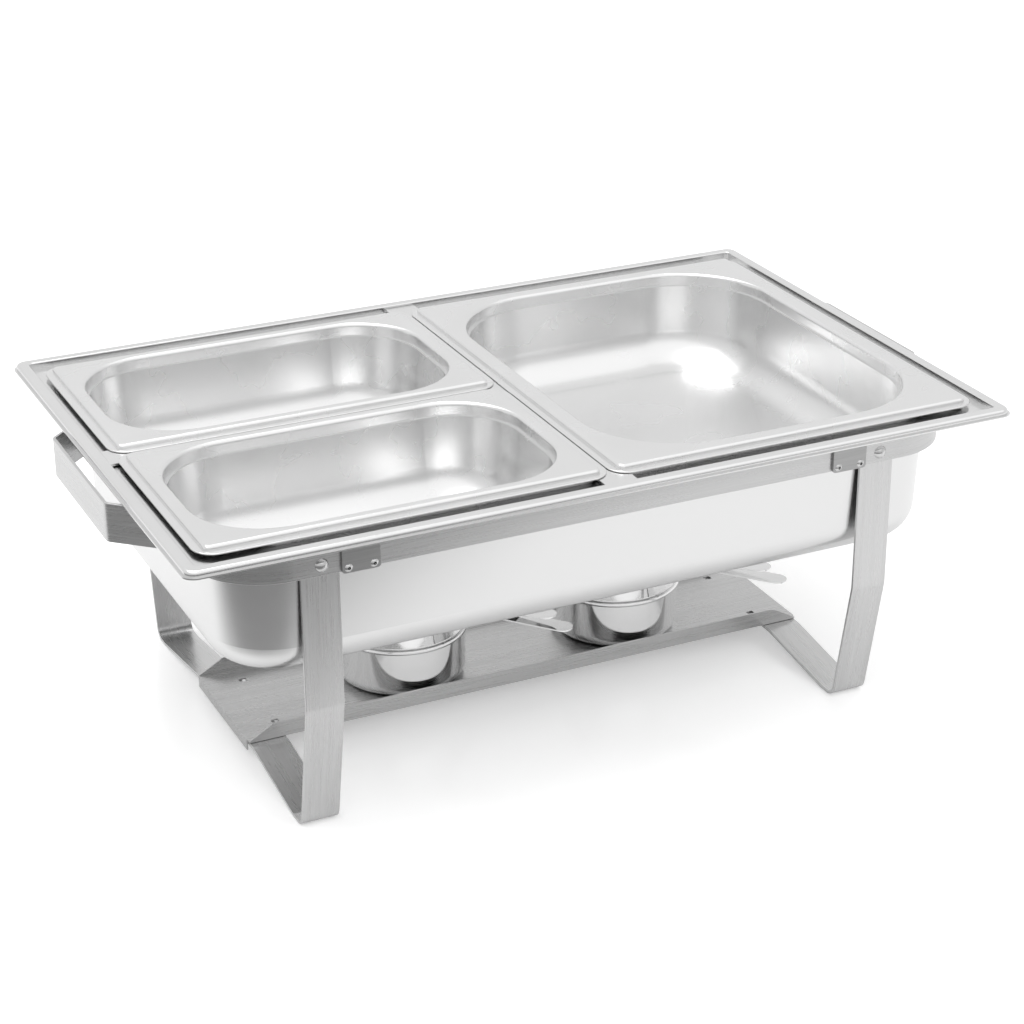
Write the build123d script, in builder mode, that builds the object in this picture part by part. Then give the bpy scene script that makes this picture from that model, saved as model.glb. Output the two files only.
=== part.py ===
"""Chafing dish food warmer: three food pans in a water pan, on a folding strap frame with a burner tray.

Millimetres, +Z up. The origin is on the table, under the middle of the dish. +X runs along the length
and -Y is the front. Every piece is its own solid, written to its own STEP file.
"""
import os

from build123d import *

# ---- driving dimensions -------------------------------------------------------------------------
SHEET = 0.8            # gauge of the deep-drawn pans
GAP = 0.3              # air between pieces that lift or swing apart
NEAR = 0.01            # tolerance for picking faces and edges by height

# food pans: one half-size pan and two quarter-size pans fill a full-size 530 x 325 opening
FULL_L = 530.0
FULL_W = 325.0
PAN_SPLIT = 1.0        # air between neighbouring pan lips
PAN_TOP = 209.0        # top face of the pan flanges above the table
PAN_DEPTH = 65.0
HALF_INSET = (17.0, 17.0)
HALF_WELL_R = 66.0
QUARTER_INSET = (15.0, 13.5)
QUARTER_WELL_R = 48.0
LIP_INSET = 5.5        # width of the lower lip round each flange
LIP_DROP = 2.8         # height of the step from flange to lip
LIP_CORNER_R = 14.0
STEP_CORNER_R = 4.0
STEP_R = 2.2           # rolled edge where flange turns down to the lip
LIP_EDGE_R = 0.5
MOUTH_R = 2.6          # rolled edge where flange turns down into the well
WELL_BEND_R = 26.0
WELL_DRAFT = 6.0       # degrees of taper on the drawn walls
SHOULDER_DROP = 9.0    # depth of the stacking shoulder under the flange
SHOULDER_IN = 1.6

# water pan
RIM_L = 560.0
RIM_W = 366.0
RIM_CORNER_R = 9.0
RIM_TOP = 207.0        # top of the raised bead round the rim
RIM_LIP_Z = 202.6      # underside of the thin lip that flares out round the bead
RIM_FLARE = 1.6
RIM_R = 2.2            # outer rolled edge of the bead
RIM_INNER_R = 1.0
BEAD_W = 9.5           # from the outer edge of the lip to the recess
RECESS_CORNER_R = 3.0
LEDGE_Z = 202.8        # top face of the recessed ledge
BODY_L = 507.6         # upper stage of the body, hidden inside the band
BODY_W = 311.0
BODY_CORNER_R = 47.0
BODY_STEP_Z = 183.0    # the ends step in below here
BODY_STEP_IN = 3.8
BODY_BOTTOM = 110.0
BODY_BEND_R = 22.0
BODY_DRAFT = 2.8
SEAT_W = 3.5           # raised seat round the mouth that carries the food pans
SEAT_EDGE_R = 0.7
MOUTH_CORNER_R = 43.0

# divider bars that carry the inner pan lips
BAR_W = 22.0
BAR_T = 1.4
BAR_SKIRT = 9.0
BAR_NOTCH = 1.2        # air each side of a bar where it crosses the seat
BAR_SETBACK = 25.0     # how far the bar flanges stop short of its ends

# frame
EDGE_R = 0.3           # rounding of the strap edges
BAND_T = 1.5
BAND_Z0 = 179.0
BAND_Z1 = 201.7
BAND_HALF_L = 257.0
BAND_HALF_W = 162.6
BAND_CORNER_R = 48.0
SPLICE_X = 167.2       # middle of each splice plate, where end band and side rail meet
SPLICE_GAP = 0.2
SPLICE_W = 24.5
SPLICE_T = 2.0
SPLICE_Z0 = 178.3
SPLICE_Z1 = 201.2
SPLICE_RIVET_DX = 8.1
SPLICE_RIVET_ZS = (181.7, 197.5)
SPLICE_RIVET_R = 1.8
SPLICE_HEAD_R = 2.6
SPLICE_BORE_R = 1.0
SPLICE_HEAD_H = 1.1
SPLICE_TAIL = (2.4, 0.9)      # radius and height of the spread end behind the strap
SPLICE_CORNER_R = 2.2

# leg straps and their pivots
LEG_X = 191.1
LEG_W = 24.7
LEG_T = 2.0
LEG_OUTER_Y = 159.0
PIVOT_Z = 185.75
PIVOT_R = 2.5
PIVOT_CLEAR = 0.05     # radial running clearance of leg on rivet
PIVOT_HEAD_R = 4.4
PIVOT_HEAD_H = 2.6
PIVOT_TAIL = (4.0, 1.0)
PIVOT_PLAY = 0.2       # end play each side of the leg strap
PIVOT_COLLAR_R = 6.0   # spacer between band and leg strap
LEG_BEND_Z = 89.0      # the strap hangs plumb down to here, then leans in
LEG_BEND_R = 14.0
FOOT_FLAT = 14.0       # flat of the foot, from its corner to where the cross-bar starts to rise
FOOT_Y = 141.0         # corner point of the foot's outline on the table
FOOT_R = 8.0
CROSS_TOP = 12.1       # top face of the cross-bar that carries the tray
CROSS_Y = 57.0         # half-width of the level cross-bar
CROSS_R = 10.0

# handles
GRIP_X = 288.0
GRIP_HALF_Y = 55.4
GRIP_Z0 = 175.5
GRIP_Z1 = 201.0
GRIP_T = 2.0
GRIP_BEND_R = 5.0
TAB_Y0 = 82.0
TAB_Y1 = 104.0
HANDLE_RIVET_Y = 95.0
HANDLE_RIVET_ZS = (183.5, 195.5)
HANDLE_RIVET_R = 2.0
HANDLE_HEAD = (3.6, 1.8)      # radius and height of the dome
HANDLE_TAIL = (2.8, 1.0)

# burner tray
TRAY_T = 1.0
TRAY_HALF_L = 203.8    # to the inner faces of the end lips
TRAY_HALF_W = 49.3     # to the inner faces of the upturned flanges
TRAY_FLANGE = 11.0
TRAY_CHAMFER = 18.0
TRAY_CORNER_R = 14.0   # rounds the top of each flange into its sloping end
TRAY_LIP = 7.0
TRAY_LIP_END = 2.0     # the end lip stops this far inside each flange
LOCK_X = 175.6         # inner face of each locking tongue
LOCK_Y = 31.0
LOCK_SLOT_L = 6.0
LOCK_SLOT_W = 4.4
LOCK_DEPTH = 2.2
LOCK_T = 1.0

# burners
BURNER_XS = {"left": -77.0, "right": 85.0}
BURNER_TURN = -50.0    # the levers point this many degrees round from +X
CUP_R = 44.5
CUP_BEND_R = 8.5
CUP_H = 37.0
CUP_BEAD_R = 1.9
CAP_R = 37.0
CAP_H = 61.0
CAP_EDGE_R = 2.5
FLAME_R = 23.0
SKIRT_R = 42.2
SKIRT_DEPTH = 8.0
HANDLE_REACH = 126.0
HANDLE_DROP = 3.5      # top face of the fixed blade below the cap's top
BLADE_W = 13.5
BLADE_T = 1.0
BLADE_TIP_R = 6.5
SHUTTER_R = 27.0
SHUTTER_RISE = 0.3     # air between cap and shutter
SHUTTER_PIVOT_X = 31.0
SHUTTER_RIVET_R = 2.0
SHUTTER_HEAD = (3.4, 1.3)
SHUTTER_TAIL = (3.0, 0.8)
SHUTTER_PLAY = 0.2     # end play of the shutter under the rivet head
LEVER_REACH = 115.0
LEVER_BEND_X = 86.0
LEVER_LIFT = 2.5

TRAY_Z = CROSS_TOP + GAP               # underside of the tray
SHELF_Z = TRAY_Z + TRAY_T              # face the burners stand on
LIP_Z = PAN_TOP - LIP_DROP             # top face of the pan lips
FLANGE_Z = PAN_TOP - SHEET             # underside of the pan flanges
SEAT_Z = FLANGE_Z - GAP                # top of the raised seat
BAR_Z = LIP_Z - SHEET - GAP            # top face of the divider bars
ENDS = (-1, 1)

os.makedirs("parts", exist_ok=True)


def save(part, name):
    """Label a finished piece and write it under its node name."""
    part.label = name
    export_step(part, f"parts/{name}.step")


# ---- food pans ----------------------------------------------------------------------------------
def make_well(centre, length, width, corner_r, wall, top):
    """Solid of a drawn well: straight mouth, stacking shoulder, tapered wall and wide bottom bend."""
    shoulder_z = PAN_TOP - SHOULDER_DROP
    with BuildPart() as well:
        with BuildSketch(Plane.XY.offset(top).move(Location(centre))):
            RectangleRounded(length + 2 * wall, width + 2 * wall, corner_r + wall)
        extrude(amount=-(top - shoulder_z + wall))
        with BuildSketch(Plane.XY.offset(shoulder_z).move(Location(centre))):
            grow = 2 * (wall - SHOULDER_IN)
            RectangleRounded(length + grow, width + grow, corner_r - SHOULDER_IN + wall)
        extrude(amount=-(PAN_DEPTH - SHOULDER_DROP + wall), taper=WELL_DRAFT)
        fillet(well.faces().sort_by(Axis.Z)[0].edges(), WELL_BEND_R + wall)
    return well.part


def make_food_pan(name, centre, length, width, inset, well_r):
    """Drawn pan: flat flange, lower lip round it, and a tapered well."""
    well_l = length - 2 * inset[0]
    well_w = width - 2 * inset[1]
    outside = make_well(centre, well_l, well_w, well_r, SHEET, PAN_TOP - SHEET / 2)
    inside = make_well(centre, well_l, well_w, well_r, 0.0, PAN_TOP)
    under = LIP_INSET + SHEET
    flange_under = (FLANGE_Z - NEAR, FLANGE_Z + NEAR)
    with BuildPart() as pan:
        with BuildSketch(Plane.XY.offset(LIP_Z - SHEET).move(Location(centre))):
            RectangleRounded(length, width, LIP_CORNER_R)
        extrude(amount=SHEET)
        fillet(pan.faces().sort_by(Axis.Z)[-1].edges(), LIP_EDGE_R)
        with BuildSketch(Plane.XY.offset(LIP_Z - SHEET).move(Location(centre))):
            RectangleRounded(length - 2 * LIP_INSET, width - 2 * LIP_INSET, STEP_CORNER_R)
        extrude(amount=LIP_DROP + SHEET)
        fillet(pan.faces().sort_by(Axis.Z)[-1].edges(), STEP_R)
        with BuildSketch(Plane.XY.offset(LIP_Z - SHEET).move(Location(centre))):
            RectangleRounded(length - 2 * under, width - 2 * under, STEP_CORNER_R - SHEET)
        extrude(amount=LIP_DROP, mode=Mode.SUBTRACT)
        fillet(pan.edges().filter_by_position(Axis.Z, *flange_under), STEP_R - SHEET)
        add(outside)
        root = pan.edges().filter_by_position(Axis.Z, *flange_under)
        root = root.filter_by(lambda e: e.bounding_box().size.X < well_l + 4 * SHEET)
        root = root.filter_by(lambda e: abs(e.center().X - centre[0]) < well_l / 2 + 2 * SHEET)
        root = root.filter_by(lambda e: abs(e.center().Y - centre[1]) < well_w / 2 + 2 * SHEET)
        fillet(root, MOUTH_R - SHEET)
        add(inside, mode=Mode.SUBTRACT)
        top = pan.faces().sort_by(Axis.Z)[-1]
        fillet(top.inner_wires()[0].edges(), MOUTH_R)
    save(pan.part, name)


# ---- water pan ----------------------------------------------------------------------------------
def make_pan_body(wall):
    """Solid of the water pan's two-stage body, shrunk inwards by wall."""
    lower_l = BODY_L - 2 * BODY_STEP_IN
    with BuildPart() as body:
        with BuildSketch(Plane.XY.offset(LEDGE_Z - SHEET / 2 + wall)):
            RectangleRounded(BODY_L - 2 * wall, BODY_W - 2 * wall, BODY_CORNER_R - wall)
        extrude(amount=-(LEDGE_Z - SHEET / 2 - BODY_STEP_Z))
        with BuildSketch(Plane.XY.offset(BODY_STEP_Z + wall)):
            RectangleRounded(lower_l - 2 * wall, BODY_W - 2 * wall, BODY_CORNER_R - wall)
        extrude(amount=-(BODY_STEP_Z - BODY_BOTTOM), taper=BODY_DRAFT)
        fillet(body.faces().sort_by(Axis.Z)[0].edges(), BODY_BEND_R - wall)
    return body.part


def make_water_pan():
    """Deep rectangular pan with a recessed ledge, a raised bead, a thin outer lip and a pan seat."""
    recess = (RIM_L - 2 * BEAD_W, RIM_W - 2 * BEAD_W)
    bead = (RIM_L - 2 * RIM_FLARE, RIM_W - 2 * RIM_FLARE)
    bead_r = RIM_CORNER_R - RIM_FLARE
    mouth = (BODY_L - 2 * SHEET, BODY_W - 2 * SEAT_W)
    seat = (mouth[0] + 2 * SEAT_W, BODY_W)
    seat_r = MOUTH_CORNER_R + SEAT_W
    ledge_under = LEDGE_Z - SHEET
    bead_under = RIM_TOP - SHEET
    outside = make_pan_body(0.0)
    inside = make_pan_body(SHEET)
    with BuildPart() as pan:
        with BuildSketch(Plane.XY.offset(RIM_LIP_Z)):
            RectangleRounded(*bead, bead_r)
        extrude(amount=RIM_TOP - RIM_LIP_Z)
        fillet(pan.faces().sort_by(Axis.Z)[-1].edges(), RIM_R)
        with BuildSketch(Plane.XY.offset(LEDGE_Z)):
            RectangleRounded(*recess, RECESS_CORNER_R)
        extrude(amount=RIM_TOP - LEDGE_Z, mode=Mode.SUBTRACT)
        fillet(pan.faces().sort_by(Axis.Z)[-1].inner_wires()[0].edges(), RIM_INNER_R)
        with BuildSketch(Plane.XY.offset(RIM_LIP_Z)):
            RectangleRounded(bead[0] - 2 * SHEET, bead[1] - 2 * SHEET, bead_r - SHEET)
            RectangleRounded(
                recess[0] + 2 * SHEET, recess[1] + 2 * SHEET, RECESS_CORNER_R + SHEET, mode=Mode.SUBTRACT
            )
        extrude(amount=bead_under - RIM_LIP_Z, mode=Mode.SUBTRACT)
        roof = pan.faces().filter_by_position(Axis.Z, bead_under - NEAR, bead_under + NEAR)
        fillet(roof[0].outer_wire().edges(), RIM_R - SHEET)
        with BuildSketch(Plane.XY.offset(RIM_LIP_Z)):
            RectangleRounded(RIM_L, RIM_W, RIM_CORNER_R)
            RectangleRounded(bead[0] - SHEET, bead[1] - SHEET, bead_r - SHEET / 2, mode=Mode.SUBTRACT)
        extrude(amount=SHEET)
        with BuildSketch(Plane.XY.offset(ledge_under)):
            RectangleRounded(recess[0] + 2 * SHEET, recess[1] + 2 * SHEET, RECESS_CORNER_R + SHEET)
        extrude(amount=SHEET)
        with BuildSketch(Plane.XY.offset(ledge_under)):
            RectangleRounded(*seat, seat_r)
        extrude(amount=SEAT_Z - ledge_under)
        fillet(pan.faces().sort_by(Axis.Z)[-1].edges(), SEAT_EDGE_R)
        add(outside)
        add(inside, mode=Mode.SUBTRACT)
        with BuildSketch(Plane.XY.offset(ledge_under)):
            RectangleRounded(seat[0] - 2 * SHEET, seat[1] - 2 * SHEET, seat_r - SHEET)
            RectangleRounded(
                mouth[0] + 2 * SHEET, mouth[1] + 2 * SHEET, MOUTH_CORNER_R + SHEET, mode=Mode.SUBTRACT
            )
        extrude(amount=SEAT_Z - SHEET - ledge_under, mode=Mode.SUBTRACT)
        with BuildSketch(Plane.XY.offset(ledge_under)):
            RectangleRounded(*mouth, MOUTH_CORNER_R)
        extrude(amount=SEAT_Z - ledge_under + 1, mode=Mode.SUBTRACT)
        with BuildSketch(Plane.XY.offset(LEDGE_Z)):
            Rectangle(BAR_W + 2 * BAR_NOTCH, seat[1] + 1)
            with Locations((-seat[0] / 2, 0)):
                Rectangle(4 * SEAT_W, BAR_W + 2 * BAR_NOTCH)
        extrude(amount=SEAT_Z - LEDGE_Z + 1, mode=Mode.SUBTRACT)
    save(pan.part, "water_pan")


def make_divider_bar(name, start, finish):
    """Flat bar with turned-down feet on the ledge and two flanges that stop short of its ends."""
    run = Vector(*finish) - Vector(*start)
    middle = (Vector(*start) + Vector(*finish)) * 0.5
    plane = Plane(origin=(middle.X, middle.Y, BAR_Z), x_dir=run.normalized(), z_dir=(0, 0, 1))
    inside = run.length - 2 * BAR_SETBACK
    with BuildPart() as bar:
        with BuildSketch(plane):
            Rectangle(run.length, BAR_W)
        extrude(amount=-BAR_T)
        with BuildSketch(plane):
            with GridLocations(run.length - BAR_T, 1, 2, 1):
                Rectangle(BAR_T, BAR_W)
        extrude(amount=LEDGE_Z - BAR_Z)
        with BuildSketch(plane):
            with GridLocations(1, BAR_W - BAR_T, 1, 2):
                Rectangle(inside, BAR_T)
        extrude(amount=-BAR_SKIRT)
    save(bar.part, name)


# ---- folding frame ------------------------------------------------------------------------------
def make_end_band(name, side):
    """U-shaped flat bar round one end, drilled for the leg pivots, splice rivets and handle rivets."""
    start_x = SPLICE_X + SPLICE_GAP
    reach = BAND_HALF_L + 5
    with BuildPart() as band:
        with BuildSketch(Plane.XY.offset(BAND_Z0)):
            RectangleRounded(2 * BAND_HALF_L, 2 * BAND_HALF_W, BAND_CORNER_R)
            inner_l = 2 * (BAND_HALF_L - BAND_T)
            RectangleRounded(inner_l, 2 * (BAND_HALF_W - BAND_T), BAND_CORNER_R - BAND_T, mode=Mode.SUBTRACT)
            with Locations((side * (start_x + reach / 2), 0)):
                Rectangle(reach, 2 * BAND_HALF_W + 1, mode=Mode.INTERSECT)
        extrude(amount=BAND_Z1 - BAND_Z0)
        fillet(band.faces().filter_by(Axis.Z).edges(), EDGE_R)
        with BuildSketch(Plane.XZ):
            with Locations((side * LEG_X, PIVOT_Z)):
                Circle(PIVOT_R)
            with Locations([(side * (SPLICE_X + SPLICE_RIVET_DX), z) for z in SPLICE_RIVET_ZS]):
                Circle(SPLICE_RIVET_R)
        extrude(amount=reach, both=True, mode=Mode.SUBTRACT)
        with BuildSketch(Plane.YZ.offset(side * start_x)):
            with Locations([(y, z) for y in (-HANDLE_RIVET_Y, HANDLE_RIVET_Y) for z in HANDLE_RIVET_ZS]):
                Circle(HANDLE_RIVET_R)
        extrude(amount=side * reach, mode=Mode.SUBTRACT)
    save(band.part, name)


def make_side_rail(name, side):
    """Straight flat bar between the two end bands."""
    holes_x = SPLICE_X - SPLICE_RIVET_DX
    with BuildPart() as rail:
        with BuildSketch(Plane.XZ.offset(-side * BAND_HALF_W)):
            with Locations((0, (BAND_Z0 + BAND_Z1) / 2)):
                Rectangle(2 * (SPLICE_X - SPLICE_GAP), BAND_Z1 - BAND_Z0)
            with Locations([(x, z) for x in (-holes_x, holes_x) for z in SPLICE_RIVET_ZS]):
                Circle(SPLICE_RIVET_R, mode=Mode.SUBTRACT)
        extrude(amount=side * BAND_T)
        fillet(rail.edges().filter_by(Axis.X), EDGE_R)
    save(rail.part, name)


def make_splice_plate(name, end, side):
    """Small plate riveted over the joint of an end band and a side rail."""
    with BuildPart() as plate:
        with BuildSketch(Plane.XZ.offset(-side * BAND_HALF_W)):
            with Locations((end * SPLICE_X, (SPLICE_Z0 + SPLICE_Z1) / 2)):
                RectangleRounded(SPLICE_W, SPLICE_Z1 - SPLICE_Z0, SPLICE_CORNER_R)
            for dx in (-SPLICE_RIVET_DX, SPLICE_RIVET_DX):
                with Locations([(end * SPLICE_X + dx, z) for z in SPLICE_RIVET_ZS]):
                    Circle(SPLICE_RIVET_R, mode=Mode.SUBTRACT)
        extrude(amount=-side * SPLICE_T)
        outside = plate.faces().sort_by(Axis.Y)[0 if side < 0 else -1]
        fillet(outside.outer_wire().edges(), EDGE_R)
    save(plate.part, name)


def make_rivet(plane, shank_r, grip, head, tail, bore_r=0.0, collar=None):
    """Rivet with its dome on the plane and its shank pointing back; bore_r makes it a blind rivet.

    head and tail are (radius, height). collar is (radius, near, far): a spacer round the shank,
    measured back from the plane.
    """
    head_r, head_h = head
    tail_r, tail_h = tail
    profile = Plane(origin=plane.origin, x_dir=plane.x_dir, z_dir=-plane.y_dir)
    dome_r = (head_r**2 + head_h**2) / (2 * head_h)
    with BuildPart() as pin:
        with BuildSketch(profile):
            with BuildLine():
                Polyline(
                    (0, -grip - tail_h),
                    (tail_r, -grip - tail_h),
                    (tail_r, -grip),
                    (shank_r, -grip),
                    (shank_r, 0),
                    (head_r, 0),
                )
                RadiusArc((head_r, 0), (0, head_h), -dome_r)
                Line((0, head_h), (0, -grip - tail_h))
            make_face()
            if collar:
                with Locations((collar[0] / 2, -(collar[1] + collar[2]) / 2)):
                    Rectangle(collar[0], collar[2] - collar[1])
        revolve(axis=Axis(plane.origin, plane.z_dir))
        if bore_r:
            with BuildSketch(plane.offset(head_h)):
                Circle(bore_r)
            extrude(amount=-(head_h + grip + tail_h), mode=Mode.SUBTRACT)
    return pin.part


def save_group(parts, name):
    """Write identical fasteners as one node of separate solids."""
    save(Compound(children=parts), name)


def side_plane(x, side, z, out):
    """Plane on a long side of the frame that faces outwards, out from the band's outer face."""
    return Plane(origin=(x, side * (BAND_HALF_W + out), z), x_dir=(1, 0, 0), z_dir=(0, side, 0))


def make_frame_rivets():
    """Pivot rivets, splice rivets and handle rivets."""
    leg_face = BAND_HALF_W - LEG_OUTER_Y
    grip = leg_face + LEG_T + PIVOT_PLAY
    collar = (PIVOT_COLLAR_R, BAND_T, leg_face - PIVOT_PLAY)
    pivots = []
    for end in ENDS:
        for side in (-1, 1):
            plane = side_plane(end * LEG_X, side, PIVOT_Z, 0)
            pivots.append(
                make_rivet(plane, PIVOT_R, grip, (PIVOT_HEAD_R, PIVOT_HEAD_H), PIVOT_TAIL, collar=collar)
            )
    save_group(pivots, "leg_pivot_rivets")

    splices = []
    grip = SPLICE_T + BAND_T
    head = (SPLICE_HEAD_R, SPLICE_HEAD_H)
    for end in ENDS:
        for side in (-1, 1):
            for dx in (-SPLICE_RIVET_DX, SPLICE_RIVET_DX):
                for z in SPLICE_RIVET_ZS:
                    plane = side_plane(end * SPLICE_X + dx, side, z, SPLICE_T)
                    splices.append(
                        make_rivet(plane, SPLICE_RIVET_R, grip, head, SPLICE_TAIL, bore_r=SPLICE_BORE_R)
                    )
    save_group(splices, "splice_rivets")

    grip = GRIP_T + BAND_T
    fixings = []
    for end in ENDS:
        for y in (-HANDLE_RIVET_Y, HANDLE_RIVET_Y):
            for z in HANDLE_RIVET_ZS:
                place = (end * (BAND_HALF_L + GRIP_T), y, z)
                plane = Plane(origin=place, x_dir=(0, 1, 0), z_dir=(end, 0, 0))
                fixings.append(make_rivet(plane, HANDLE_RIVET_R, grip, HANDLE_HEAD, HANDLE_TAIL))
    save_group(fixings, "handle_rivets")


def make_handle(name, end):
    """Upright strap bent into a carrying grip, with a riveted tab at each foot."""
    with BuildPart() as handle:
        with BuildSketch(Plane.XY.offset(GRIP_Z0)):
            with BuildLine() as path:
                FilletPolyline(
                    (end * (BAND_HALF_L + GRIP_T / 2), -TAB_Y1),
                    (end * (BAND_HALF_L + GRIP_T / 2), -TAB_Y0),
                    (end * (GRIP_X - GRIP_T / 2), -GRIP_HALF_Y),
                    (end * (GRIP_X - GRIP_T / 2), GRIP_HALF_Y),
                    (end * (BAND_HALF_L + GRIP_T / 2), TAB_Y0),
                    (end * (BAND_HALF_L + GRIP_T / 2), TAB_Y1),
                    radius=GRIP_BEND_R,
                )
            trace(path.line, line_width=GRIP_T)
        extrude(amount=GRIP_Z1 - GRIP_Z0)
        fillet(handle.faces().filter_by(Axis.Z).edges(), EDGE_R)
        with BuildSketch(Plane.YZ.offset(end * (BAND_HALF_L - 1))):
            with Locations([(y, z) for y in (-HANDLE_RIVET_Y, HANDLE_RIVET_Y) for z in HANDLE_RIVET_ZS]):
                Circle(HANDLE_RIVET_R)
        extrude(amount=end * (GRIP_T + 2), mode=Mode.SUBTRACT)
    save(handle.part, name)


def make_leg(name, end):
    """One strap bent into a closed-bottom U: two plumb arms, two feet and a raised cross-bar."""
    half_t = LEG_T / 2
    arm_y = LEG_OUTER_Y - half_t
    top_z = PIVOT_Z + LEG_W / 2
    points = [
        (-arm_y, top_z),
        (-arm_y, LEG_BEND_Z),
        (-FOOT_Y, half_t),
        (-FOOT_Y + FOOT_FLAT, half_t),
        (-CROSS_Y, CROSS_TOP - half_t),
        (CROSS_Y, CROSS_TOP - half_t),
        (FOOT_Y - FOOT_FLAT, half_t),
        (FOOT_Y, half_t),
        (arm_y, LEG_BEND_Z),
        (arm_y, top_z),
    ]
    bends = [LEG_BEND_R, FOOT_R, CROSS_R, CROSS_R, CROSS_R, CROSS_R, FOOT_R, LEG_BEND_R]
    with BuildPart() as leg:
        with BuildSketch(Plane.YZ.offset(end * LEG_X - LEG_W / 2)):
            with BuildLine() as path:
                FilletPolyline(*points, radius=bends)
            trace(path.line, line_width=LEG_T)
        extrude(amount=LEG_W)
        fillet(leg.faces().filter_by(Axis.X).edges(), EDGE_R)
        with BuildSketch(Plane.XZ):
            with Locations((end * LEG_X, PIVOT_Z)):
                Circle(LEG_W / 2)
            with Locations((end * LEG_X, PIVOT_Z / 2)):
                Rectangle(LEG_W, PIVOT_Z)
        extrude(amount=LEG_OUTER_Y + 1, both=True, mode=Mode.INTERSECT)
        with BuildSketch(Plane.XZ):
            with Locations((end * LEG_X, PIVOT_Z)):
                Circle(PIVOT_R + PIVOT_CLEAR)
        extrude(amount=LEG_OUTER_Y + 1, both=True, mode=Mode.SUBTRACT)
    save(leg.part, name)


# ---- burner tray --------------------------------------------------------------------------------
def make_tray():
    """Shallow shelf across the cross-bars, with upturned long flanges, end lips and locking tongues."""
    half_w = TRAY_HALF_W + TRAY_T
    with BuildPart() as tray:
        with BuildSketch(Plane.XY.offset(TRAY_Z)):
            Rectangle(2 * TRAY_HALF_L, 2 * half_w)
            with GridLocations(2 * (LOCK_X + LOCK_SLOT_L / 2), 2 * LOCK_Y, 2, 2):
                Rectangle(LOCK_SLOT_L, LOCK_SLOT_W, mode=Mode.SUBTRACT)
        extrude(amount=TRAY_T)
        for side in (-1, 1):
            with BuildSketch(Plane.XZ.offset(-side * TRAY_HALF_W)) as flange:
                with BuildLine():
                    Polyline(
                        (-TRAY_HALF_L, TRAY_Z),
                        (TRAY_HALF_L, TRAY_Z),
                        (TRAY_HALF_L, SHELF_Z),
                        (TRAY_HALF_L - TRAY_CHAMFER, TRAY_Z + TRAY_FLANGE),
                        (-TRAY_HALF_L + TRAY_CHAMFER, TRAY_Z + TRAY_FLANGE),
                        (-TRAY_HALF_L, SHELF_Z),
                        close=True,
                    )
                make_face()
                fillet(flange.vertices().group_by(Axis.Y)[-1], TRAY_CORNER_R)
            extrude(amount=-side * TRAY_T)
        for end in (-1, 1):
            with BuildSketch(Plane.XY.offset(SHELF_Z)):
                with Locations((end * (TRAY_HALF_L + TRAY_T / 2), 0)):
                    Rectangle(TRAY_T, 2 * (TRAY_HALF_W - TRAY_LIP_END))
            extrude(amount=-TRAY_LIP)
        with BuildSketch(Plane.XY.offset(SHELF_Z)):
            with GridLocations(2 * (LOCK_X + LOCK_T / 2), 2 * LOCK_Y, 2, 2):
                Rectangle(LOCK_T, LOCK_SLOT_W)
        extrude(amount=-(TRAY_T + LOCK_DEPTH))
    save(tray.part, "burner_tray")


# ---- burners ------------------------------------------------------------------------------------
def make_cup(name, x):
    """Fuel cup: a drawn pot with a rounded foot and a rolled bead round its mouth."""
    wall = SHEET
    with BuildPart() as cup:
        with BuildSketch(Plane(origin=(x, 0, SHELF_Z), x_dir=(1, 0, 0), z_dir=(0, -1, 0))):
            with BuildLine():
                foot = CUP_R - CUP_BEND_R
                Polyline((0, 0), (foot, 0))
                RadiusArc((foot, 0), (CUP_R, CUP_BEND_R), -CUP_BEND_R)
                Polyline((CUP_R, CUP_BEND_R), (CUP_R, CUP_H - 1), (CUP_R - wall, CUP_H - 1))
                Line((CUP_R - wall, CUP_H - 1), (CUP_R - wall, CUP_BEND_R))
                RadiusArc((CUP_R - wall, CUP_BEND_R), (foot, wall), CUP_BEND_R - wall)
                Polyline((foot, wall), (0, wall), (0, 0))
            make_face()
            with Locations((CUP_R, CUP_H - CUP_BEAD_R)):
                Circle(CUP_BEAD_R)
        revolve(axis=Axis((x, 0, 0), (0, 0, 1)))
    save(cup.part, name)


def lever_plane(x, z):
    """Plane across a burner's axis, turned so that its local +X runs along the levers."""
    return Plane.XY.offset(z).move(Location((x, 0, 0), (0, 0, BURNER_TURN)))


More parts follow.
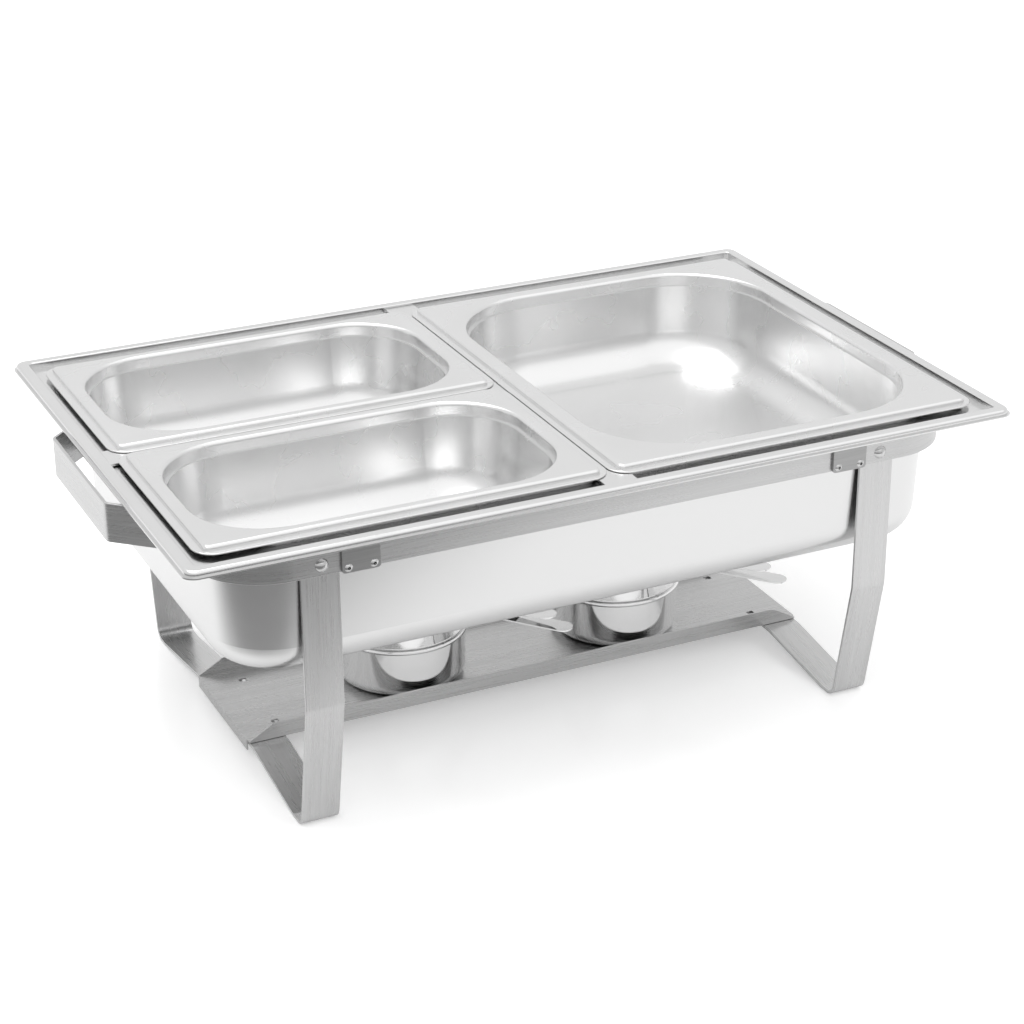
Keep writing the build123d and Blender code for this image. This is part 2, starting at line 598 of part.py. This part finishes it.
def make_cap(name, x):
    """Lid with a skirt in the cup, a raised burner crown with a flame opening, and a long blade handle."""
    wall = SHEET
    top = SHELF_Z + CAP_H
    shoulder = SHELF_Z + CUP_H + 0.1
    with BuildPart() as cap:
        with BuildSketch(Plane(origin=(x, 0, 0), x_dir=(1, 0, 0), z_dir=(0, -1, 0))):
            with BuildLine():
                Polyline(
                    (FLAME_R, top),
                    (CAP_R, top),
                    (CAP_R, shoulder + wall),
                    (CUP_R, shoulder + wall),
                    (CUP_R, shoulder),
                    (SKIRT_R, shoulder),
                    (SKIRT_R, shoulder - SKIRT_DEPTH),
                    (SKIRT_R - wall, shoulder - SKIRT_DEPTH),
                    (SKIRT_R - wall, shoulder),
                    (CAP_R - wall, shoulder),
                    (CAP_R - wall, top - wall),
                    (FLAME_R, top - wall),
                    close=True,
                )
            make_face()
        revolve(axis=Axis((x, 0, 0), (0, 0, 1)))
        rim = cap.edges().filter_by(GeomType.CIRCLE).filter_by_position(Axis.Z, top - NEAR, top + NEAR)
        fillet(rim.sort_by(lambda e: e.radius)[-1], CAP_EDGE_R)
        turned = lever_plane(x, top - HANDLE_DROP)
        with BuildSketch(turned):
            with Locations(((CAP_R + HANDLE_REACH) / 2, 0)):
                Rectangle(HANDLE_REACH - CAP_R + 1, BLADE_W)
        extrude(amount=-BLADE_T)
        tips = cap.edges().filter_by(Axis.Z).sort_by(lambda e: (e.center() - turned.origin).length)
        fillet(tips[-2:], BLADE_TIP_R)
        with BuildSketch(turned):
            with Locations((SHUTTER_PIVOT_X, 0)):
                Circle(SHUTTER_RIVET_R)
        extrude(amount=HANDLE_DROP + 1, mode=Mode.SUBTRACT)
    save(cap.part, name)


def make_shutter(name, x):
    """Round flame cover with a lever whose tip is bent up, pivoting at the edge of the crown."""
    z = SHELF_Z + CAP_H + SHUTTER_RISE
    turned = lever_plane(x, z)
    with BuildPart() as shutter:
        with BuildSketch(turned):
            Circle(SHUTTER_R)
            with Locations((LEVER_BEND_X / 2, 0)):
                Rectangle(LEVER_BEND_X, BLADE_W)
        extrude(amount=BLADE_T)
        with BuildSketch(Plane(origin=turned.origin, x_dir=turned.x_dir, z_dir=-turned.y_dir)):
            with BuildLine():
                Polyline(
                    (LEVER_BEND_X, 0),
                    (LEVER_REACH, LEVER_LIFT),
                    (LEVER_REACH, LEVER_LIFT + BLADE_T),
                    (LEVER_BEND_X, BLADE_T),
                    close=True,
                )
            make_face()
        extrude(amount=BLADE_W / 2, both=True)
        tips = shutter.edges().filter_by(Axis.Z).sort_by(lambda e: (e.center() - turned.origin).length)
        fillet(tips[-2:], BLADE_TIP_R)
        with BuildSketch(turned):
            with Locations((SHUTTER_PIVOT_X, 0)):
                Circle(SHUTTER_RIVET_R + PIVOT_CLEAR)
        extrude(amount=BLADE_T, mode=Mode.SUBTRACT)
    save(shutter.part, name)


def make_shutter_rivet(name, x):
    """Small rivet that the shutter turns on, set in the crown."""
    top = SHELF_Z + CAP_H
    head_z = top + SHUTTER_RISE + BLADE_T + SHUTTER_PLAY
    plane = lever_plane(x, head_z).move(Location((SHUTTER_PIVOT_X, 0, 0)))
    grip = head_z - top + SHEET
    save(make_rivet(plane, SHUTTER_RIVET_R, grip, SHUTTER_HEAD, SHUTTER_TAIL), name)


quarter_y = (FULL_W + PAN_SPLIT) / 4
quarter_size = (FULL_L / 2 - PAN_SPLIT / 2, (FULL_W - PAN_SPLIT) / 2)
make_food_pan(
    "food_pan_half", ((FULL_L + PAN_SPLIT) / 4, 0), quarter_size[0], FULL_W, HALF_INSET, HALF_WELL_R
)
for word, side in (("front", -1), ("rear", 1)):
    centre = (-(FULL_L + PAN_SPLIT) / 4, side * quarter_y)
    make_food_pan(f"food_pan_quarter_{word}", centre, *quarter_size, QUARTER_INSET, QUARTER_WELL_R)
make_water_pan()
bar_x = RIM_L / 2 - BEAD_W - GAP
bar_y = RIM_W / 2 - BEAD_W - GAP
make_divider_bar("divider_bar_long", (0, -bar_y), (0, bar_y))
make_divider_bar("divider_bar_short", (-bar_x, 0), (-BAR_W / 2, 0))

for word, end in (("left", -1), ("right", 1)):
    make_end_band(f"end_band_{word}", end)
    make_handle(f"handle_{word}", end)
    make_leg(f"leg_{word}", end)
    for edge, side in (("front", -1), ("back", 1)):
        make_splice_plate(f"splice_plate_{edge}_{word}", end, side)
for edge, side in (("front", -1), ("back", 1)):
    make_side_rail(f"side_rail_{edge}", side)
make_frame_rivets()
make_tray()
for word, x in BURNER_XS.items():
    make_cup(f"burner_cup_{word}", x)
    make_cap(f"burner_cap_{word}", x)
    make_shutter(f"burner_shutter_{word}", x)
    make_shutter_rivet(f"shutter_rivet_{word}", x)
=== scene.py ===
"""Chafing dish food warmer: brushed and satin stainless steel on a glossy white floor."""

import bpy
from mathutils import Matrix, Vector

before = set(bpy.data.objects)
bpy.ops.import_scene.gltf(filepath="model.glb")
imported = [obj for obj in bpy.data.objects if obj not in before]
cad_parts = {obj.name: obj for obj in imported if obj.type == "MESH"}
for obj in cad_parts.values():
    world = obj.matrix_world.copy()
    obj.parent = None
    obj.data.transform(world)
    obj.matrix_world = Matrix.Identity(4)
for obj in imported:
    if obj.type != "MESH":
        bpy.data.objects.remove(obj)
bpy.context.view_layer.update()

FLOOR_SIZE = 14.0
PAINTED_REFLECTION_EDGE_Y = -0.47    # where the painted dark reflection begins on the sweep, seen only in the steel's reflections
FLOOR_EDGE_SLOPE = 0.8  # that edge runs nearer to the dish on its left
FLOOR_PAINTED_REFLECTION_DIM = 0.30        # how much the sweep itself is painted darker in reflections
FLOOR_GLOW = 0.28       # painted glow in the sweep, so the dish throws only a faint shadow
FLOOR_FADE = 0.10       # half the width over which that edge fades
FLOOR_WHITE = 0.97
# dark colour painted into the floor, seen only in reflections
FLOOR_PAINTED_REFLECTION_DARK = 0.18
PANEL_SLOPE = -0.3      # how much lower the overhead panel reaches in front than at the back

GRAIN = 0.02            # how far the brushed grain is drawn out
TOOTH_HEIGHT = 0.00002  # metres
STEEL_IOR = 2.5

CAMERA_PLACE = (-0.64505, -1.38588, 0.81344)
CAMERA_FORWARD = (0.3963, 0.8180, -0.4169)
CAMERA_LENS = 87.57     # mm
CAMERA_SENSOR = 36.0    # mm
CAMERA_SHIFT = (-0.025, 0.0032)

KEY_PLACE = (-0.5, 0.3, 2.2)
KEY_AIM = (0, 0, 0.2)
KEY_SIZE = (2.0, 1.4)
KEY_POWER = 18


# ---- materials ----------------------------------------------------------------------------------
class Nodes:
    """A new node material, with short calls to add nodes and links."""

    def __init__(self, name, **shader):
        self.material = bpy.data.materials.new(name)
        self.material.use_nodes = True
        self.tree = self.material.node_tree
        self.shader = self.tree.nodes["Principled BSDF"]
        for socket, value in shader.items():
            self.shader.inputs[socket.replace("_", " ")].default_value = value

    def add(self, kind, **inputs):
        node = self.tree.nodes.new("ShaderNode" + kind)
        for socket, value in inputs.items():
            node.inputs[socket.replace("_", " ")].default_value = value
        return node

    def link(self, source, target):
        self.tree.links.new(source, target)


def stretched_noise(nodes, stretch, scale, detail, roughness=0.6):
    """Noise in object coordinates, scaled per axis: a small factor draws it out along that axis."""
    place = nodes.add("TexCoord")
    mapping = nodes.add("Mapping", Scale=stretch)
    nodes.link(place.outputs["Object"], mapping.inputs["Vector"])
    noise = nodes.add("TexNoise", Scale=scale, Detail=detail, Roughness=roughness)
    nodes.link(mapping.outputs["Vector"], noise.inputs["Vector"])
    return noise.outputs["Fac"]


def spread(nodes, value, low, high, from_low=0.3, from_high=0.7):
    """Value mapped from the noise's usual range to low..high."""
    ranged = nodes.add("MapRange", From_Min=from_low, From_Max=from_high, To_Min=low, To_Max=high)
    nodes.link(value, ranged.inputs["Value"])
    return ranged.outputs["Result"]


def brushed_steel(name, stretch, tone, roughness, contrast=0.035, bump=0.2):
    """Steel brushed in one direction: fine streaks in colour, roughness and height."""
    nodes = Nodes(name, Metallic=1.0, IOR=STEEL_IOR)
    streaks = stretched_noise(nodes, stretch, 900.0, 3.0)
    bands = stretched_noise(nodes, stretch, 160.0, 2.0)
    mixed = nodes.add("Math")
    mixed.operation = "ADD"
    nodes.link(spread(nodes, streaks, -contrast, contrast), mixed.inputs[0])
    nodes.link(spread(nodes, bands, -contrast * 0.6, contrast * 0.6), mixed.inputs[1])
    level = nodes.add("Math")
    level.operation = "ADD"
    level.inputs[1].default_value = tone
    nodes.link(mixed.outputs[0], level.inputs[0])
    colour = nodes.add("CombineColor")
    for channel in ("Red", "Green", "Blue"):
        nodes.link(level.outputs[0], colour.inputs[channel])
    nodes.link(colour.outputs[0], nodes.shader.inputs["Base Color"])
    nodes.link(spread(nodes, streaks, roughness - 0.07, roughness + 0.07), nodes.shader.inputs["Roughness"])
    height = nodes.add("Bump", Strength=bump, Distance=TOOTH_HEIGHT)
    nodes.link(streaks, height.inputs["Height"])
    nodes.link(height.outputs["Normal"], nodes.shader.inputs["Normal"])
    return nodes.material


def satin_steel(name, tone, roughness, bump=0.05):
    """Deep-drawn sheet with a soft satin finish: faint cloudy variation and a fine tooth."""
    nodes = Nodes(name, Metallic=1.0, IOR=STEEL_IOR)
    cloud = stretched_noise(nodes, (1, 1, 1), 14.0, 3.0)
    tooth = stretched_noise(nodes, (1, 1, 1), 1500.0, 2.0)
    colour = nodes.add("CombineColor")
    level = spread(nodes, cloud, tone - 0.012, tone + 0.012)
    for channel in ("Red", "Green", "Blue"):
        nodes.link(level, colour.inputs[channel])
    nodes.link(colour.outputs[0], nodes.shader.inputs["Base Color"])
    nodes.link(spread(nodes, cloud, roughness - 0.03, roughness + 0.03), nodes.shader.inputs["Roughness"])
    height = nodes.add("Bump", Strength=bump, Distance=TOOTH_HEIGHT)
    nodes.link(tooth, height.inputs["Height"])
    nodes.link(height.outputs["Normal"], nodes.shader.inputs["Normal"])
    return nodes.material


def floor_material():
    """Glossy white sweep with a faint painted glow that lightens the dish's shadow; in reflections only, it
    is painted dark in front, a painted reflection of a dark studio.
    """
    nodes = Nodes("studio_floor", Roughness=0.12, IOR=1.3, Emission_Color=(1, 1, 1, 1))
    place = nodes.add("TexCoord")
    split = nodes.add("SeparateXYZ")
    nodes.link(place.outputs["Object"], split.inputs["Vector"])
    across = nodes.add("Math")
    across.operation = "MULTIPLY_ADD"
    across.inputs[1].default_value = FLOOR_EDGE_SLOPE
    nodes.link(split.outputs["X"], across.inputs[0])
    nodes.link(split.outputs["Y"], across.inputs[2])
    painted_reflection_edge = spread(
        nodes, across.outputs[0], 1.0, FLOOR_PAINTED_REFLECTION_DIM, PAINTED_REFLECTION_EDGE_Y - FLOOR_FADE, PAINTED_REFLECTION_EDGE_Y + FLOOR_FADE
    )
    rays = nodes.add("LightPath")
    # painted dark reflection: glossy rays see the floor darkened, fully beyond the edge and partly
    # elsewhere
    painted_reflection_mask = nodes.add("Math")
    painted_reflection_mask.operation = "MULTIPLY"
    nodes.link(painted_reflection_edge, painted_reflection_mask.inputs[0])
    nodes.link(rays.outputs["Is Glossy Ray"], painted_reflection_mask.inputs[1])
    painted_reflection_tint = nodes.add("Mix")
    painted_reflection_tint.data_type = "RGBA"
    painted_reflection_tint.inputs["A"].default_value = (FLOOR_WHITE, FLOOR_WHITE, FLOOR_WHITE, 1)
    painted_reflection_tint.inputs["B"].default_value = (FLOOR_PAINTED_REFLECTION_DARK, FLOOR_PAINTED_REFLECTION_DARK, FLOOR_PAINTED_REFLECTION_DARK, 1)
    nodes.link(painted_reflection_mask.outputs[0], painted_reflection_tint.inputs["Factor"])
    nodes.link(painted_reflection_tint.outputs["Result"], nodes.shader.inputs["Base Color"])
    # painted glow that lightens the dish's shadow on the floor; weaker where the painted dark reflection is
    glow = nodes.add("MapRange", To_Min=FLOOR_GLOW, To_Max=0.0)
    nodes.link(painted_reflection_mask.outputs[0], glow.inputs["Value"])
    nodes.link(glow.outputs["Result"], nodes.shader.inputs["Emission Strength"])
    return nodes.material


# noise scale per axis: the grain is drawn out along the axes with the small factor
ALONG_X = (GRAIN, 1, 1)
ALONG_YZ = (1, GRAIN, GRAIN)
ALONG_XY = (GRAIN, GRAIN, 1)

materials = {
    "pan": satin_steel("pan_satin", 0.78, 0.27),
    "water_pan": satin_steel("water_pan_satin", 0.76, 0.23),
    "rail": brushed_steel("rail_brushed", ALONG_XY, 0.58, 0.30),
    "leg": brushed_steel("leg_brushed", ALONG_YZ, 0.62, 0.30),
    "plate": brushed_steel("plate_brushed", ALONG_XY, 0.40, 0.34),
    "tray": brushed_steel("tray_brushed", ALONG_X, 0.55, 0.30),
    "rivet": satin_steel("rivet_polished", 0.62, 0.16),
    "burner": satin_steel("burner_polished", 0.88, 0.07),
}
LOOKS = {
    "food_pan": "pan",
    "water_pan": "water_pan",
    "divider_bar": "water_pan",
    "end_band": "rail",
    "side_rail": "rail",
    "splice_plate": "plate",
    "handle_rivets": "rivet",
    "handle": "rail",
    "leg_pivot": "rivet",
    "splice_rivets": "rivet",
    "shutter_rivet": "rivet",
    "leg": "leg",
    "burner_tray": "tray",
    "burner": "burner",
}


def dress(obj, material):
    """Give every material slot of an object one material."""
    obj.data.materials.clear()
    obj.data.materials.append(material)


def look_of(node):
    for start, look in LOOKS.items():
        if node.startswith(start):
            return materials[look]
    raise KeyError(node)


for node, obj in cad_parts.items():
    dress(obj, look_of(node))


# ---- studio -------------------------------------------------------------------------------------
def make_floor():
    bpy.ops.mesh.primitive_plane_add(size=FLOOR_SIZE)
    floor = bpy.context.object
    floor.name = "studio_floor"
    dress(floor, floor_material())


def area_light(name, place, aim, size, power):
    """Soft box at place, turned to face aim."""
    light = bpy.data.lights.new(name, "AREA")
    light.shape = "RECTANGLE"
    light.size, light.size_y = size
    light.energy = power
    obj = bpy.data.objects.new(name, light)
    obj.location = place
    obj.rotation_euler = (Vector(aim) - Vector(place)).to_track_quat("-Z", "Y").to_euler()
    bpy.context.scene.collection.objects.link(obj)


def make_world():
    """White studio: a bright panel overhead that reaches lowest in front, and a darker room below it."""
    world = bpy.data.worlds.new("studio")
    bpy.context.scene.world = world
    world.use_nodes = True
    tree = world.node_tree
    tree.nodes["Background"].inputs["Color"].default_value = (1, 1, 1, 1)
    place = tree.nodes.new("ShaderNodeTexCoord")
    split = tree.nodes.new("ShaderNodeSeparateXYZ")
    tree.links.new(place.outputs["Generated"], split.inputs["Vector"])
    back = tree.nodes.new("ShaderNodeMapRange")
    tree.links.new(split.outputs["Y"], back.inputs["Value"])
    for socket, value in (("From Min", -0.7), ("From Max", 0.3), ("To Min", 0.80), ("To Max", 0.90)):
        back.inputs[socket].default_value = value
    height = tree.nodes.new("ShaderNodeMath")
    height.operation = "MULTIPLY_ADD"
    tree.links.new(split.outputs["Y"], height.inputs[0])
    height.inputs[1].default_value = PANEL_SLOPE
    tree.links.new(split.outputs["Z"], height.inputs[2])
    above = tree.nodes.new("ShaderNodeMapRange")
    tree.links.new(height.outputs[0], above.inputs["Value"])
    for socket, value in (("From Min", 0.35), ("From Max", 0.75), ("To Min", 0.0), ("To Max", 1.2)):
        above.inputs[socket].default_value = value
    brighter = tree.nodes.new("ShaderNodeMath")
    brighter.operation = "MAXIMUM"
    tree.links.new(back.outputs["Result"], brighter.inputs[0])
    tree.links.new(above.outputs["Result"], brighter.inputs[1])
    rays = tree.nodes.new("ShaderNodeLightPath")
    seen = tree.nodes.new("ShaderNodeMath")
    seen.operation = "MAXIMUM"
    tree.links.new(brighter.outputs[0], seen.inputs[0])
    tree.links.new(rays.outputs["Is Camera Ray"], seen.inputs[1])
    tree.links.new(seen.outputs[0], tree.nodes["Background"].inputs["Strength"])


def make_camera():
    """Camera above the front left corner, looking down at the dish."""
    data = bpy.data.cameras.new("camera")
    data.lens = CAMERA_LENS
    data.sensor_width = CAMERA_SENSOR
    data.shift_x, data.shift_y = CAMERA_SHIFT
    camera = bpy.data.objects.new("camera", data)
    camera.location = CAMERA_PLACE
    camera.rotation_euler = Vector(CAMERA_FORWARD).to_track_quat("-Z", "Y").to_euler()
    bpy.context.scene.collection.objects.link(camera)
    bpy.context.scene.camera = camera


make_floor()
make_world()
make_camera()
area_light("key", KEY_PLACE, KEY_AIM, KEY_SIZE, KEY_POWER)
bpy.context.scene.view_settings.view_transform = "Standard"
